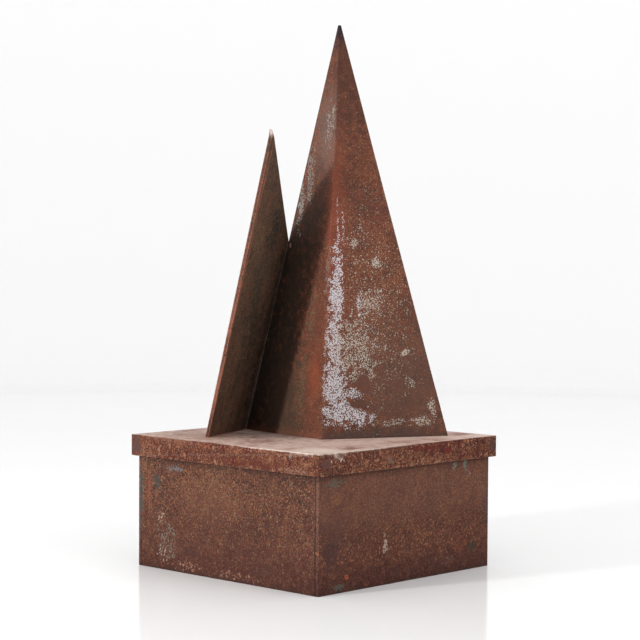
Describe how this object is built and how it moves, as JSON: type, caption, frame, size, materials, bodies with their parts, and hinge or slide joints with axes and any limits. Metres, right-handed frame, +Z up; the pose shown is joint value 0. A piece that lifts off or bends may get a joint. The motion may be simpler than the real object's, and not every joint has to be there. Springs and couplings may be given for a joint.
{
  "type": "abstract metal sculpture",
  "caption": "Weathered steel plate sculpture: a tall three-sided pyramid and a leaning fin on a hollow box plinth with an overhanging, lid-like cap.",
  "frame": {"origin": "middle of the plinth's underside, on the surface it stands on", "axes": "+Z up; the plinth is square to X and Y; -Y is the front and -X the left, and the picture looks at the corner between them"},
  "size_m": [0.32, 0.32, 0.6671],
  "materials": {
    "box_steel": "matte",
    "cap_steel": "matte",
    "pyramid_steel": "matte",
    "fin_steel": "matte"
  },
  "bodies": {
    "root": {"box_front_wall": "box_steel", "box_back_wall": "box_steel", "box_left_wall": "box_steel", "box_right_wall": "box_steel", "cap_top": "cap_steel", "cap_front_rim": "cap_steel", "cap_back_rim": "cap_steel", "cap_left_rim": "cap_steel", "cap_right_rim": "cap_steel", "pyramid_left_face": "pyramid_steel", "pyramid_right_face": "pyramid_steel", "pyramid_back_face": "pyramid_steel", "fin": "fin_steel"}
  },
  "joints": []
}
